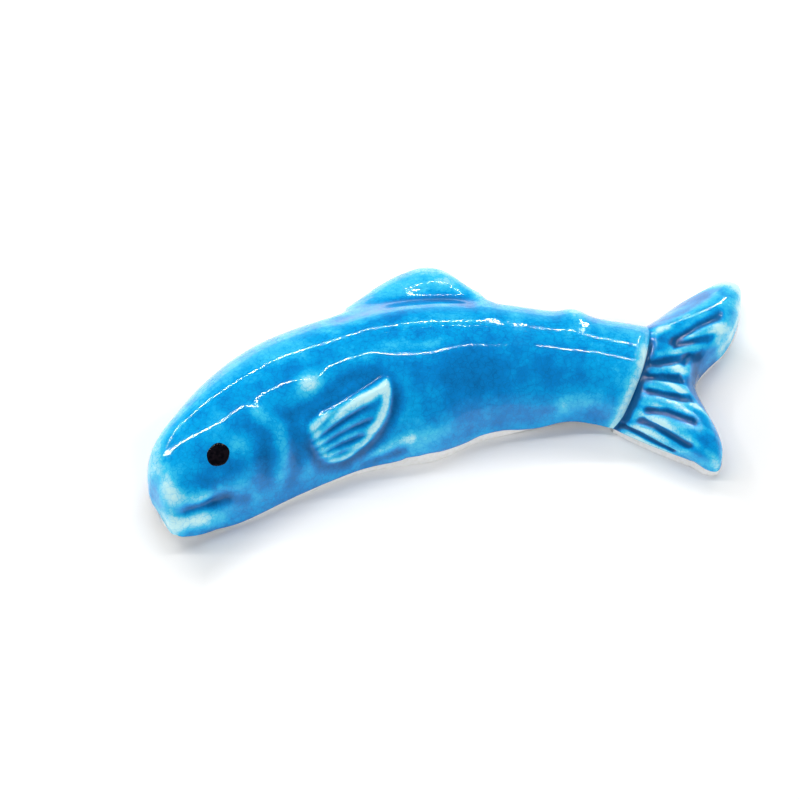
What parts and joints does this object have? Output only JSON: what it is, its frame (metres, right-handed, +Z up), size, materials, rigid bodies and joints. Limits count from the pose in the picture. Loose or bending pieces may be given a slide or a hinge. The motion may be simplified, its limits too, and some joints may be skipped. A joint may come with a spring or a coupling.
{
  "type": "chopstick rest",
  "caption": "Glazed ceramic chopstick rest shaped as a bowed fish lying on its flank, with a forked tail, a padded dorsal fin and a bare foot.",
  "frame": {"origin": "on the table, under the centre of the whole rest's box", "axes": "+X from the snout to the tail, +Y towards the fish's back, +Z up from the table"},
  "size_m": [0.0768, 0.0374, 0.0116],
  "materials": {
    "clay": "matte",
    "glaze": "glossy",
    "eye": "glossy"
  },
  "bodies": {
    "root": {"clay_body": "clay", "dorsal_fin": "clay", "pectoral_fin": "clay", "tail_fin": "clay", "glaze_coat": "glaze", "eye": "eye"}
  },
  "joints": []
}
